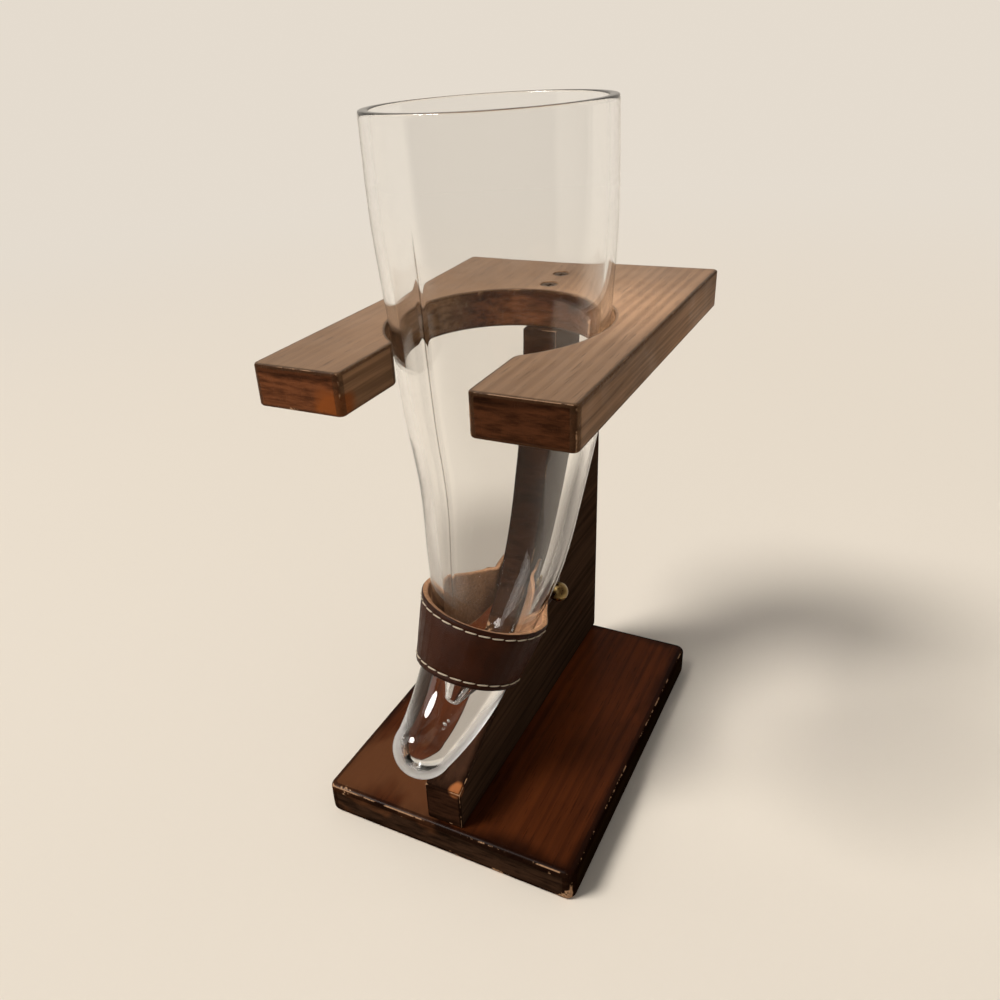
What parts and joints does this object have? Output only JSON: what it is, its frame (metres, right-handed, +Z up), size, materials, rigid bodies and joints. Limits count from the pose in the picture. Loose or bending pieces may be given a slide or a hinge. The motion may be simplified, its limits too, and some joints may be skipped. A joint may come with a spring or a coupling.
{
  "type": "drinking horn with stand",
  "caption": "Clear glass drinking horn standing mouth up in a slotted wooden stand, held near its tip by a stitched leather strap buttoned onto brass studs.",
  "frame": {"origin": "middle of the base board's underside", "axes": "+Z up through the horn's mouth, +X to the right, +Y to the back, so the horn's tip points to -Y"},
  "size_m": [0.11, 0.1608, 0.2667],
  "materials": {
    "stained_wood": "dark brown stain under satin varnish, edges a little worn",
    "clear_glass": "clear, fire-polished rim",
    "strap_leather": "smooth dark brown face, tan raw edges",
    "cream_thread": "waxed thread",
    "stud_brass": "dull brass",
    "dark_steel": "blackened",
    "plain_steel": "zinc plated"
  },
  "bodies": {
    "stand": {"base_board": "stained_wood", "upright": "stained_wood", "top_plate": "stained_wood", "leather_strap": "strap_leather", "strap_stitching_upper": "cream_thread", "strap_stitching_lower": "cream_thread", "stud_right": "stud_brass", "stud_left": "stud_brass", "plate_screw_front": "dark_steel", "plate_screw_rear": "dark_steel", "base_screw_front": "plain_steel", "base_screw_middle": "plain_steel", "base_screw_rear": "plain_steel"},
    "horn": {"glass_horn": "clear_glass"}
  },
  "joints": [
    {"name": "horn_lift", "type": "slide", "parent": "stand", "child": "horn", "axis": [0, 0, 1], "range_m": [0, 0.17], "deforming": ["leather_strap", "strap_stitching_upper", "strap_stitching_lower"]}
  ]
}
